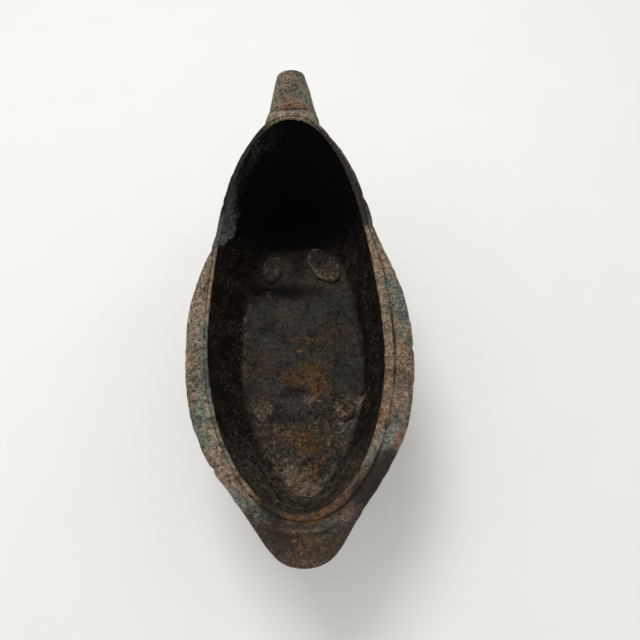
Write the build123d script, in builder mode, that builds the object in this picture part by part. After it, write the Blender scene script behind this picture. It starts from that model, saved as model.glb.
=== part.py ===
from build123d import *
from math import cos, radians, sin
import os

# Bronze yi, a pouring vessel for washing the hands. All sizes are in millimetres.
# Z is up from the table, +Y runs toward the spout and X is the width.
# A station is the distance along Y from the tip of the thumb tongue.

# Heights above the table
underside_height = 59.0
floor_thickness = 5.5
rim_height = 118.0
arch_height = 166.0

# Plan of the bowl, measured inside, from its widest station
widest_station = 145.0
floor_half_width = 43.0
floor_rear_reach = 95.0
floor_front_reach = 121.0
mouth_half_width = 57.5
mouth_rear_reach = 116.0
arch_front_reach = 139.0
floor_round = 6.0

# Fullness of each quarter of the plan: how far its curve keeps on before it turns, as a share
# of the quarter. The round share makes a quarter of an ellipse.
round_share = 0.5523
floor_tail_share = 0.38
floor_nose_share = 0.65
mouth_nose_share = 0.75

# Sideways lean of the casting core at the floor and at the rim
floor_core_shift = 1.2
rim_core_shift = -2.2

# Wall, thinner in the hood over the spout, and its raised tile bands
wall = 5.2
hood_wall = 2.6
underside_round = 7.5
tile_count = 4
tile_pitch = 9.0
tile_relief = 1.1
tile_start = 16.0

# Lip, a flat flange that starts outside a lower ledge
lip_thickness = 6.0
lip_width = 16.5
lip_end_width = 12.0
hood_lip_width = 2.6
ledge_width = 4.0
hood_ledge_width = 1.3
ledge_drop = 0.8
tongue_half_width = 27.0
tongue_shoulder_station = 20.0
rear_lip_station = 62.0
lip_end_station = 190.0
hood_start_station = 228.0
hood_flank_station = 256.0
rise_station = 185.0
rise_run = 62.0

# Brow, the solid band between the arch and the spout
brow_reach = 11.0
brow_half_width = 15.0
brow_bow = 2.0

# Spout, a tapering tube cast onto the front wall, fullest before its last third
spout_root_back = 10.0
spout_root_drop = 31.0
spout_length = 60.0
spout_full_length = 40.0
spout_pitch = 31.0
spout_mouth_pitch = 16.0
spout_root_radius = 20.5
spout_full_radius = 15.4
spout_mouth_radius = 9.8
spout_wall = 3.0

# Handle, a strap loop under the tongue
strap_thickness = 6.0
strap_top_width = 21.0
strap_bottom_width = 16.0
strap_tip_setback = 5.5
strap_pad_flare = 6.0
strap_bulge = 3.0
strap_grip = 10.0
strap_foot_height = 75.0
strap_tail_drop = 8.0

# Legs, each cast onto the floor through an oval tenon with a spread head inside
rear_leg_station = 115.0
rear_leg_offset = 30.0
front_leg_station = 229.0
front_leg_offset = 20.0
leg_splay = 5.0
foot_radius = 10.0
ankle_radius = 7.5
ankle_height = 16.0
knee_radius = 11.5
knee_height = 42.0
hip_radius = 15.0
leg_flatness = 0.78
tenon_half_length = 8.0
tenon_half_width = 5.0
head_half_length = 15.0
head_half_width = 9.5
head_height = 4.0
head_dome_share = 0.6
rear_head_turn = 8.0
front_head_turn = 32.0

# Chaplets, square spacers that held the core off the mould and stayed in the floor
chaplet_size = 7.0
middle_chaplet_station = 156.0
side_chaplet_offset = 31.0
front_chaplet_station = 205.0
front_chaplet_offset = 22.0

# Reach of the cutting shapes past what they cut
overcut = 1.0
open_overcut = 14.0
side_reach = 120.0
spout_overrun = 4.0

# Steps in which the bowl's height is drawn
level_steps = 4

# Lengths that follow from the sizes above
floor_height = underside_height + floor_thickness
open_top = arch_height + open_overcut
arch_station = widest_station + arch_front_reach
spout_root_station = arch_station - spout_root_back
spout_root_height = arch_height - spout_root_drop
mouth_station = spout_root_station + spout_length * cos(radians(spout_pitch))
mouth_height = spout_root_height + spout_length * sin(radians(spout_pitch))
overall_length = mouth_station + spout_mouth_radius * sin(radians(spout_mouth_pitch))
tongue_underside = rim_height - lip_thickness


def at(station):
    """Y of a station, with Y zero halfway along the vessel."""
    return station - overall_length / 2


def between(low, high, share):
    """The value at a share of the way from low to high."""
    return low + (high - low) * share


def climb(height, low, high):
    """Share of the way up from low to high, held between 0 and 1."""
    return min(max((height - low) / (high - low), 0), 1)


def core_shift(height):
    """Sideways place of the inside at a height."""
    if height < rim_height:
        return between(floor_core_shift, rim_core_shift, climb(height, floor_height, rim_height))
    return between(rim_core_shift, 0, climb(height, rim_height, arch_height))


def wall_at(height):
    """Thickness of the wall at a height."""
    return between(wall, hood_wall, climb(height, rim_height, arch_height))


def ledge_at(height):
    """Width of the ledge at a height, always less than the wall."""
    return between(ledge_width, hood_ledge_width, climb(height, rim_height, arch_height))


def plan_ends(height):
    """Half width of the inside at a height, then the reach and the fullness of each end."""
    rise = climb(height, floor_height, rim_height)
    swell = sin(radians(90 * rise))
    lean = max((height - floor_height) / (arch_height - floor_height), 0)
    half_width = between(floor_half_width, mouth_half_width, swell)
    front = between(floor_front_reach, arch_front_reach, lean)
    rear = between(floor_rear_reach, mouth_rear_reach, swell)
    nose_share = between(floor_nose_share, mouth_nose_share, rise)
    tail_share = between(floor_tail_share, round_share, rise)
    return half_width, (front, nose_share), (rear, tail_share)


def egg(height, grow=0.0, shift=0.0):
    """One level section: a short round end behind the widest station, a long one before it."""
    half_width, (front, nose_share), (rear, tail_share) = plan_ends(height)
    middle = at(widest_station)
    with BuildSketch(Plane.XY.offset(height)) as section:
        with BuildLine():
            for reach, share in ((front + grow, nose_share), (-rear - grow, tail_share)):
                for half in (half_width + grow, -half_width - grow):
                    side = (shift + half, middle)
                    side_pull = (shift + half, middle + round_share * reach)
                    end_pull = (shift + share * half, middle + reach)
                    Bezier(side, side_pull, end_pull, (shift, middle + reach))
        make_face()
    return section.sketch


def rim_curve(drop):
    """The rim seen from the side, lowered by a drop: level, then rising to the arch."""
    low = rim_height - drop
    high = arch_height - drop
    start = (at(-side_reach), low)
    rise = (at(rise_station), low)
    bend = (at(arch_station - rise_run), low)
    arch = (at(arch_station), high)
    end = (at(arch_station + side_reach), high)
    Line(start, rise)
    Bezier(rise, bend, arch)
    Line(arch, end)
    return start, end


def mouth_half(station):
    """Half width of the mouth at a station, found by halving steps along its plan curve."""
    front = station > widest_station
    reach, share = (arch_front_reach, mouth_nose_share) if front else (mouth_rear_reach, round_share)
    ahead = abs(station - widest_station) / reach
    low, high = 0, 1
    for _ in range(30):
        run = (low + high) / 2
        rest = 1 - run
        along = 3 * rest ** 2 * run * round_share + 3 * rest * run ** 2 + run ** 3
        low, high = (run, high) if along < ahead else (low, run)
    return mouth_half_width * (rest ** 3 + 3 * rest ** 2 * run + 3 * rest * run ** 2 * share)


def inner_levels():
    """Heights at which the inside is drawn, from the floor to above the arch."""
    bowl = [between(floor_height, rim_height, step / level_steps) for step in range(level_steps + 1)]
    return bowl + [between(rim_height, arch_height, 0.5), arch_height, open_top]


# Inside of the bowl, as a solid that is cut out later
with BuildPart() as cavity:
    loft(sections=[egg(level, shift=core_shift(level)) for level in inner_levels()])
    fillet(cavity.edges().group_by(Axis.Z)[0], floor_round)

# The same form grown as far as the outer edge of the ledge, which the lip starts from
with BuildPart() as ledge:
    loft(sections=[egg(level, grow=ledge_at(level)) for level in inner_levels()])

# Outside of the bowl, with low rounded tile bands round the belly
with BuildPart() as outside:
    outer_levels = [underside_height] + inner_levels()[1:]
    loft(sections=[egg(level, grow=wall_at(level)) for level in outer_levels])
    fillet(outside.edges().group_by(Axis.Z)[0], underside_round)
    for band in range(tile_count):
        crest = underside_height + tile_start + band * tile_pitch
        sections = []
        for share in (-1, -0.5, 0, 0.5, 1):
            relief = tile_relief * (1 - 2 * share ** 2)
            sections.append(egg(crest + share * tile_pitch / 2, grow=wall + relief))
        loft(sections=sections, ruled=True)

# Lip: the plan outline, cut to a band that follows the rim
with BuildPart() as lip:
    with BuildSketch(Plane.XY.offset(tongue_underside - overcut)):
        lip_points = [(tongue_half_width, at(tongue_shoulder_station))]
        for station, width in (
            (rear_lip_station, lip_width),
            (widest_station, lip_width),
            (lip_end_station, lip_end_width),
            (hood_start_station, hood_lip_width),
            (hood_flank_station, hood_lip_width),
        ):
            lip_points.append((mouth_half(station) + width, at(station)))
        corner = (brow_half_width, at(arch_station + brow_reach - brow_bow))
        tip = (0, at(0))
        brow = (0, at(arch_station + brow_reach))
        with BuildLine():
            flank = Spline(tip, *lip_points, corner, tangents=[(1, 0), (-0.2, 1)])
            ThreePointArc(corner, brow, (-corner[0], corner[1]))
            mirror(flank, about=Plane.YZ)
        make_face()
    extrude(amount=open_top - tongue_underside)
    with BuildSketch(Plane.YZ.offset(-side_reach)):
        with BuildLine():
            top_start, top_end = rim_curve(0)
            low_start, low_end = rim_curve(lip_thickness)
            Line(top_start, low_start)
            Line(top_end, low_end)
        make_face()
    extrude(amount=2 * side_reach, mode=Mode.INTERSECT)
    add(ledge.part, mode=Mode.SUBTRACT)


def spout_plane(distance, pitch):
    """Plane across the spout at a distance from its root, facing out along the pour."""
    station = spout_root_station + distance * cos(radians(spout_pitch))
    height = spout_root_height + distance * sin(radians(spout_pitch))
    facing = (0, cos(radians(pitch)), sin(radians(pitch)))
    return Plane(origin=(0, at(station), height), x_dir=(1, 0, 0), z_dir=facing)


def spout_form(inset, overrun):
    """The spout as a solid, its radius less an inset, run on past its mouth."""
    end_pitch = spout_pitch if overrun else spout_mouth_pitch
    taper = (spout_full_radius - spout_mouth_radius) / (spout_length - spout_full_length)
    sections = []
    for distance, radius, pitch in (
        (0, spout_root_radius, spout_pitch),
        (spout_full_length, spout_full_radius, spout_pitch),
        (spout_length + overrun, spout_mouth_radius - taper * overrun, end_pitch),
    ):
        with BuildSketch(spout_plane(distance, pitch)) as section:
            Circle(radius - inset)
        sections.append(section.sketch)
    with BuildPart() as form:
        loft(sections=sections)
    return form.part


bore = spout_form(spout_wall, spout_overrun)

with BuildPart() as spout:
    add(spout_form(0, 0))
    add(outside.part, mode=Mode.SUBTRACT)
    add(lip.part, mode=Mode.SUBTRACT)
    add(bore, mode=Mode.SUBTRACT)
spout.part.label = "spout"


def leg_places():
    """Name, X, station and turn of the head of each leg."""
    for end, station, offset, turn in (
        ("rear", rear_leg_station, rear_leg_offset, -rear_head_turn),
        ("front", front_leg_station, front_leg_offset, front_head_turn),
    ):
        for side, sign in (("left", -1), ("right", 1)):
            yield f"{end}_{side}_leg", sign * offset, station, sign * turn


def chaplet_places():
    """X and station of each chaplet."""
    yield 0, middle_chaplet_station
    for sign in (-1, 1):
        yield sign * side_chaplet_offset, middle_chaplet_station
        yield sign * front_chaplet_offset, front_chaplet_station


# Body: outside, lip and cavity, with the seats of everything cast onto it
with BuildPart() as body:
    add(outside.part)
    with BuildSketch(Plane.YZ.offset(-side_reach)):
        with BuildLine():
            rim_start, rim_end = rim_curve(ledge_drop)
            Polyline(rim_end, (rim_end[0], -overcut), (rim_start[0], -overcut), rim_start)
        make_face()
    extrude(amount=2 * side_reach, mode=Mode.INTERSECT)
    add(lip.part)
    add(cavity.part, mode=Mode.SUBTRACT)
    add(bore, mode=Mode.SUBTRACT)
    with BuildSketch(Plane.XY.offset(underside_height - overcut)):
        for name, x, station, turn in leg_places():
            with Locations((x, at(station))):
                Ellipse(tenon_half_width, tenon_half_length)
        for x, station in chaplet_places():
            with Locations((x, at(station))):
                Rectangle(chaplet_size, chaplet_size)
    extrude(amount=floor_thickness + 2 * overcut, mode=Mode.SUBTRACT)
body.part.label = "body"

with BuildPart() as chaplets:
    with BuildSketch(Plane.XY.offset(underside_height)):
        for x, station in chaplet_places():
            with Locations((x, at(station))):
                Rectangle(chaplet_size, chaplet_size)
    extrude(amount=floor_thickness)
chaplets.part.label = "chaplets"

# Handle: a strap bent down from the tongue and back to the belly, with a short tail
with BuildPart() as handle:
    outer_y = at(strap_tip_setback)
    inner_y = outer_y + strap_thickness
    foot_y = at(widest_station - floor_rear_reach) + wall
    foot_low = strap_foot_height - strap_thickness
    tail = (outer_y + strap_bulge, foot_low - strap_tail_drop)
    heel = (outer_y + strap_bulge + strap_thickness, foot_low)
    bulge_height = (tongue_underside + strap_foot_height) / 2
    with BuildSketch(Plane.YZ.offset(-strap_top_width / 2)):
        with BuildLine():
            Spline(
                (outer_y, tongue_underside),
                (outer_y + strap_bulge / 2, bulge_height),
                tail,
                tangents=[(0.1, -1), (-0.3, -1)],
            )
            Line(tail, heel)
            Line(heel, (foot_y, foot_low))
            Line((foot_y, foot_low), (foot_y, strap_foot_height))
            Line((foot_y, strap_foot_height), (inner_y + strap_grip, strap_foot_height))
            Spline(
                (inner_y + strap_grip, strap_foot_height),
                (inner_y + strap_bulge / 2, bulge_height),
                (inner_y + strap_pad_flare, tongue_underside),
                tangents=[(-1, 0), (1, 1)],
            )
            Line((inner_y + strap_pad_flare, tongue_underside), (outer_y, tongue_underside))
        make_face()
    extrude(amount=strap_top_width)
    with BuildSketch(Plane.XZ.offset(2 * side_reach)):
        with BuildLine():
            low = tail[1] - overcut
            right = Spline(
                (strap_top_width / 2, tongue_underside),
                (strap_bottom_width / 2, bulge_height - strap_thickness),
                (strap_bottom_width / 2, low),
                tangents=[(-0.3, -1), (0, -1)],
            )
            mirror(right, about=Plane.YZ)
            Line((strap_top_width / 2, tongue_underside), (-strap_top_width / 2, tongue_underside))
            Line((strap_bottom_width / 2, low), (-strap_bottom_width / 2, low))
        make_face()
    extrude(amount=-4 * side_reach, mode=Mode.INTERSECT)
    add(outside.part, mode=Mode.SUBTRACT)
handle.part.label = "handle"


def cast_leg(x, station, turn):
    """One leg with its tenon through the floor and its spread head inside the bowl."""
    sign = 1 if x > 0 else -1
    with BuildPart() as column:
        for height, radius, splay in (
            (0, foot_radius, leg_splay),
            (ankle_height, ankle_radius, leg_splay),
            (knee_height, knee_radius, leg_splay / 2),
            (underside_height + underside_round, hip_radius, 0),
        ):
            with BuildSketch(Plane.XY.offset(height)):
                with Locations((x + sign * splay, at(station))):
                    Ellipse(radius * leg_flatness, radius)
        loft()
        add(outside.part, mode=Mode.SUBTRACT)
    with BuildPart() as head:
        for share in (0, head_dome_share, 1):
            height = between(floor_height - overcut, floor_height + head_height, share)
            inset = head_height * share ** 2
            with BuildSketch(Plane.XY.offset(height)):
                with Locations(Location((x, at(station)), turn)):
                    Ellipse(head_half_width - inset, head_half_length - inset)
        loft()
        add(cavity.part, mode=Mode.INTERSECT)
    with BuildPart() as leg:
        add(column.part)
        add(head.part)
        with BuildSketch(Plane.XY.offset(underside_height - overcut)):
            with Locations((x, at(station))):
                Ellipse(tenon_half_width, tenon_half_length)
        extrude(amount=floor_thickness + 2 * overcut)
    return leg.part


os.makedirs("parts", exist_ok=True)
for piece in (body.part, spout.part, handle.part, chaplets.part):
    export_step(piece, f"parts/{piece.label}.step")
for name, x, station, turn in leg_places():
    leg = cast_leg(x, station, turn)
    leg.label = name
    export_step(leg, f"parts/{name}.step")
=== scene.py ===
import math
from itertools import product

import bpy
import numpy as np
from mathutils import Matrix, Vector


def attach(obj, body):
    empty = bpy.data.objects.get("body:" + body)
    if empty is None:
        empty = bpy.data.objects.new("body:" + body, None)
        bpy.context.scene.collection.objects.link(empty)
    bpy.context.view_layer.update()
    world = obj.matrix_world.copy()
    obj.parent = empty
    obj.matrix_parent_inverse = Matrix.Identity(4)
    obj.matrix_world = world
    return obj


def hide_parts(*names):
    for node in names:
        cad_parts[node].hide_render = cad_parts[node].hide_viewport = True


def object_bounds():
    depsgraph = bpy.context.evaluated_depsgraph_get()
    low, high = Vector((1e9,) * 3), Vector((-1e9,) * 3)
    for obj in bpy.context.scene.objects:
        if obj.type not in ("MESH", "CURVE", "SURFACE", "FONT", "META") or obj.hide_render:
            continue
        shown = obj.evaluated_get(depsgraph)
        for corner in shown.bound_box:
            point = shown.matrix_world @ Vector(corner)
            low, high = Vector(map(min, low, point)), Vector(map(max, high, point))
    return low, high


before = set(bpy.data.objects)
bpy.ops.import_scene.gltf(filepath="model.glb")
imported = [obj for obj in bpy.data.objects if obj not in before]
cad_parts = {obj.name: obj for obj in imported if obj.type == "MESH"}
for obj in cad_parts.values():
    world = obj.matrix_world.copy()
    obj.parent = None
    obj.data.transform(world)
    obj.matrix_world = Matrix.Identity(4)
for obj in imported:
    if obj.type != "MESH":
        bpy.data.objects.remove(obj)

# The casting is worked out in millimetres, with a station counted along Y from the tip of the
# thumb tongue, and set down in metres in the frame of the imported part.
MM = 0.001
CAD_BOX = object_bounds()
HALF_LENGTH = (CAD_BOX[1][1] - CAD_BOX[0][1]) / 2 / MM

# Heights of the bowl
UNDERSIDE = 59.0
FLOOR = 64.5
RIM = 118.0
ARCH = 166.0

# Plan of the bowl, inside, from its widest station
WIDEST = 145.0
FLOOR_HALF_WIDTH = 43.0
FLOOR_REAR = 95.0
FLOOR_FRONT = 121.0
MOUTH_HALF_WIDTH = 57.5
MOUTH_REAR = 116.0
ARCH_FRONT = 139.0
FLOOR_ROUND = 6.0
UNDERSIDE_ROUND = 7.5

# Fullness of the quarters of the plan, and the sideways lean of the core
ROUND_SHARE = 0.5523
FLOOR_TAIL_SHARE = 0.28
FLOOR_NOSE_SHARE = 0.65
MOUTH_NOSE_SHARE = 0.75
FLOOR_CORE_SHIFT = 1.2
RIM_CORE_SHIFT = -2.2

# Wall, thinner in the hood over the spout, and its raised tile bands
WALL = 5.2
HOOD_WALL = 2.6
TILES = 4
TILE_PITCH = 9.0
TILE_RELIEF = 1.1
TILE_START = 16.0

# Lip and rim
LIP_THICKNESS = 6.0
LEDGE_WIDTH = 4.4
HOOD_LEDGE_WIDTH = 1.3
LEDGE_DROP = 0.8
BROW_STATION = 295.0
RISE_START = 185.0
RISE_BEND = 222.0
RISE_END = 284.0

# Bore of the spout: distance from its root and radius
BORE_ROOT = (0.0, 274.0, 135.0)
BORE_PITCH = math.radians(31.0)
BORE_RADII = ((0.0, 17.5), (10.0, 16.4), (20.0, 15.2), (30.0, 13.8))

# Spread heads of the legs: place, station and turn of each
HEADS = {
    "rear_left_leg": (-30.0, 115.0, 8.0),
    "rear_right_leg": (30.0, 115.0, -8.0),
    "front_left_leg": (-20.0, 229.0, -32.0),
    "front_right_leg": (20.0, 229.0, 32.0),
}
HEAD_HALF_LENGTH = 15.0
HEAD_HALF_WIDTH = 9.5

# Sideways lean of the spout as cast
SPOUT_SKEW = 1.3

# Relief of each head: height of its ring, depth of its pit, raggedness, how far it has sunk, its
# own twist on the floor and how far it has spread
HEAD_RELIEF = {
    "rear_left_leg": (0.0, 0.8, 0.8, 0.60, 0.0, 0.0),
    "rear_right_leg": (0.3, 0.6, 1.0, 0.30, 0.0, 0.0),
    "front_left_leg": (0.1, 0.2, 0.4, 0.0, -20.0, 0.0),
    "front_right_leg": (1.0, 1.9, 0.7, 0.0, 0.0, 2.4),
}


def to_frame(points):
    """Millimetres with stations to metres in the frame."""
    moved = np.array(points, dtype=float)
    moved[..., 1] -= HALF_LENGTH
    return moved * MM


def to_casting(points):
    """Metres in the frame to millimetres with stations."""
    moved = np.array(points, dtype=float) / MM
    moved[..., 1] += HALF_LENGTH
    return moved


# Smooth random fields, the same on every run


def scramble(key, seed):
    """A fixed random number from -1 to 1 for each whole-number lattice point."""
    x, y, z = (key[..., axis].astype(np.uint64) for axis in range(3))
    mixed = x * np.uint64(73856093) ^ y * np.uint64(19349663) ^ z * np.uint64(83492791)
    mixed = (mixed ^ np.uint64(seed * 2654435761 + 97)) * np.uint64(6364136223846793005)
    mixed = (mixed ^ (mixed >> np.uint64(29))) * np.uint64(0xBF58476D1CE4E5B9)
    return (mixed >> np.uint64(40)).astype(float) / 2 ** 23 - 1


def lumps(points, size, seed):
    """A smooth field from about -1 to 1 whose lumps are size millimetres across."""
    cell = points / size + 1000.0
    base = np.floor(cell).astype(np.int64)
    part = cell - base
    part = part * part * (3 - 2 * part)
    total = np.zeros(points.shape[:-1])
    for corner in product((0, 1), repeat=3):
        share = np.where(np.array(corner) == 1, part, 1 - part).prod(axis=-1)
        total += share * scramble(base + np.array(corner), seed)
    return total


def crust(points, size, octaves, seed):
    """Lumps with finer lumps on them."""
    total = np.zeros(points.shape[:-1])
    for octave in range(octaves):
        total += lumps(points, size / 2 ** octave, seed + octave) / 2 ** octave
    return total


def between(low, high, share):
    """The value at a share of the way from low to high."""
    return low + (high - low) * share


def rise(value, low, high):
    """Share of the way up from low to high, held between 0 and 1."""
    return np.clip((value - low) / (high - low), 0, 1)


def soft_step(value, start, end):
    """0 at start, 1 at end and a smooth rise between."""
    share = rise(value, start, end)
    return share * share * (3 - 2 * share)


def hump(value, middle, width):
    """A soft hump, 1 at its middle."""
    return np.exp(-((value - middle) / width) ** 2)


def spot(points, x, station, radius):
    """A soft round patch, 1 at its middle, seen in plan."""
    return hump(np.hypot(points[..., 0] - x, points[..., 1] - station), 0, radius)


def stroke(points, x0, station0, x1, station1, width):
    """A soft band between two plan points."""
    start = np.array([x0, station0], dtype=float)
    run = np.array([x1, station1], dtype=float) - start
    along = np.clip(((points[..., :2] - start) @ run) / max(run @ run, 1e-6), 0, 1)
    away = points[..., :2] - start - along[..., None] * run
    return hump(np.hypot(away[..., 0], away[..., 1]), 0, width)


# Form of the casting


def core_shift(height):
    """Sideways place of the inside at each height."""
    low = between(FLOOR_CORE_SHIFT, RIM_CORE_SHIFT, rise(height, FLOOR, RIM))
    return np.where(height < RIM, low, between(RIM_CORE_SHIFT, 0, rise(height, RIM, ARCH)))


def wall_at(height):
    """Thickness of the wall at each height."""
    return between(WALL, HOOD_WALL, rise(height, RIM, ARCH))


def egg(turn, height, grow=0.0, shift=0.0):
    """Points of the level plan curve, one for each turn about its widest station."""
    up = rise(height, FLOOR, RIM)
    swell = np.sin(np.pi / 2 * up)
    lean = np.clip((height - FLOOR) / (ARCH - FLOOR), 0, None)
    half_width = between(FLOOR_HALF_WIDTH, MOUTH_HALF_WIDTH, swell) + grow
    front = between(FLOOR_FRONT, ARCH_FRONT, lean) + grow
    rear = between(FLOOR_REAR, MOUTH_REAR, swell) + grow
    nose = between(FLOOR_NOSE_SHARE, MOUTH_NOSE_SHARE, up)
    tail = between(FLOOR_TAIL_SHARE, ROUND_SHARE, up)
    ahead = np.sin(turn) > 0
    run = 1 - np.abs(turn / (np.pi / 2) % 2 - 1)
    rest = 1 - run
    share = np.where(ahead, nose, tail)
    x = half_width * (rest ** 3 + 3 * rest ** 2 * run + 3 * rest * run ** 2 * share)
    y = np.where(ahead, front, rear)
    y = y * (3 * rest ** 2 * run * ROUND_SHARE + 3 * rest * run ** 2 + run ** 3)
    x = shift + x * np.where(np.cos(turn) < 0, -1, 1)
    y = WIDEST + y * np.where(ahead, 1, -1)
    return np.stack([x, y, height + 0 * turn], axis=-1)


def rim_height(station):
    """Height of the rim: level, then a smooth rise to the arch, then level again."""
    first = RISE_BEND - RISE_START
    second = RISE_START - 2 * RISE_BEND + RISE_END
    inner = np.clip(np.asarray(station) - RISE_START, 0, RISE_END - RISE_START)
    share = (np.sqrt(first ** 2 + second * inner) - first) / second
    return RIM + (ARCH - RIM) * share ** 2


def on_rim(turn, below, outside):
    """Points of the wall's inner or outer face where it meets the rim lowered by below."""
    height = np.full_like(turn, RIM)
    for _ in range(40):
        grow, shift = (wall_at(height), 0.0) if outside else (0.0, core_shift(height))
        station = egg(turn, height, grow, shift)[:, 1]
        height = 0.5 * height + 0.5 * (rim_height(station) - below)
    grow, shift = (wall_at(height), 0.0) if outside else (0.0, core_shift(height))
    return egg(turn, height, grow, shift)


def lip_outline():
    """Half width of the lip at each station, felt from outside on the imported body."""
    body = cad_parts["body"]
    stations = np.concatenate([[0.05, 0.3, 0.8, 1.5], np.arange(2.5, BROW_STATION - 4, 1.0),
                               np.arange(BROW_STATION - 4, BROW_STATION, 0.25)])
    widths = []
    for station in stations:
        height = float(rim_height(station)) - LIP_THICKNESS / 2
        start = to_frame((120.0, station, height))
        hit, place, _, _ = body.ray_cast(Vector(start), Vector((-1, 0, 0)))
        widths.append(place.x / MM if hit else 0.0)
    return stations, np.array(widths)


def lip_breadth(mouth, outward):
    """How far a straight line out of the mouth goes before it leaves the lip, in plan."""
    stations, widths = lip_outline()
    steps = np.arange(0.4, 60.0, 0.1)
    breadth = np.zeros(len(mouth))
    for row, (point, way) in enumerate(zip(mouth, outward)):
        x = np.abs(point[0] + way[0] * steps)
        y = point[1] + way[1] * steps
        out = np.flatnonzero(x > np.interp(y, stations, widths, left=-1, right=-1))
        breadth[row] = steps[out[0]] if len(out) else steps[-1]
    kernel = np.array([1, 2, 3, 2, 1]) / 9
    wrapped = np.concatenate([breadth[-2:], breadth, breadth[:2]])
    return np.convolve(wrapped, kernel, mode="valid")


# Knocks in the outer edge of the lip: x, station, size and depth
NICKS = (
    (-53.5, 58.0, 2.2, 1.3),
    (-54.0, 221.0, 3.0, 1.6),
    (-60.0, 209.0, 2.5, 0.9),
    (-50.0, 238.0, 2.0, 0.8),
    (-32.0, 270.0, 2.5, 0.8),
    (50.0, 240.0, 2.5, 0.8),
    (55.0, 222.0, 2.0, 0.6),
    (49.0, 86.0, 2.2, 0.8),
    (20.0, 33.0, 2.5, 0.6),
    (-24.0, 36.0, 3.0, 0.6),
    (73.0, 131.0, 2.0, 0.7),
)

LIP_MARKS = ("ledge", "groove", "crest", "trough")
TURNS = 840
FLOOR_RINGS = 60
WALL_RINGS = 46
LIP_RINGS = 30
OUTER_RINGS = 60
BOTTOM_RINGS = 22


def inner_rings(turn):
    """Rings from the middle of the floor, up the wall, to the mouth."""
    rings = []
    level = np.full_like(turn, FLOOR)
    start = egg(turn, level, -FLOOR_ROUND, FLOOR_CORE_SHIFT)
    middle = np.array([FLOOR_CORE_SHIFT, WIDEST + 12.0, FLOOR])
    for ring in range(1, FLOOR_RINGS):
        rings.append(middle + (start - middle) * (ring / FLOOR_RINGS))
    for angle in np.radians(np.arange(0, 90, 13)):
        height = level + FLOOR_ROUND * (1 - math.cos(angle))
        rings.append(egg(turn, height, -FLOOR_ROUND * (1 - math.sin(angle)), core_shift(height)))
    mouth = on_rim(turn, LEDGE_DROP + 0.9, False)
    base = FLOOR + FLOOR_ROUND
    for ring in range(WALL_RINGS + 1):
        height = between(base, mouth[:, 2], ring / WALL_RINGS)
        rings.append(egg(turn, height, 0.0, core_shift(height)))
    return rings, mouth


def outward_way(ring):
    """Direction out of a level ring at each of its points, in plan."""
    run = np.roll(ring, -1, axis=0)[:, :2] - np.roll(ring, 1, axis=0)[:, :2]
    way = np.stack([run[:, 1], -run[:, 0]], axis=-1)
    return way / np.linalg.norm(way, axis=-1, keepdims=True)


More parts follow.
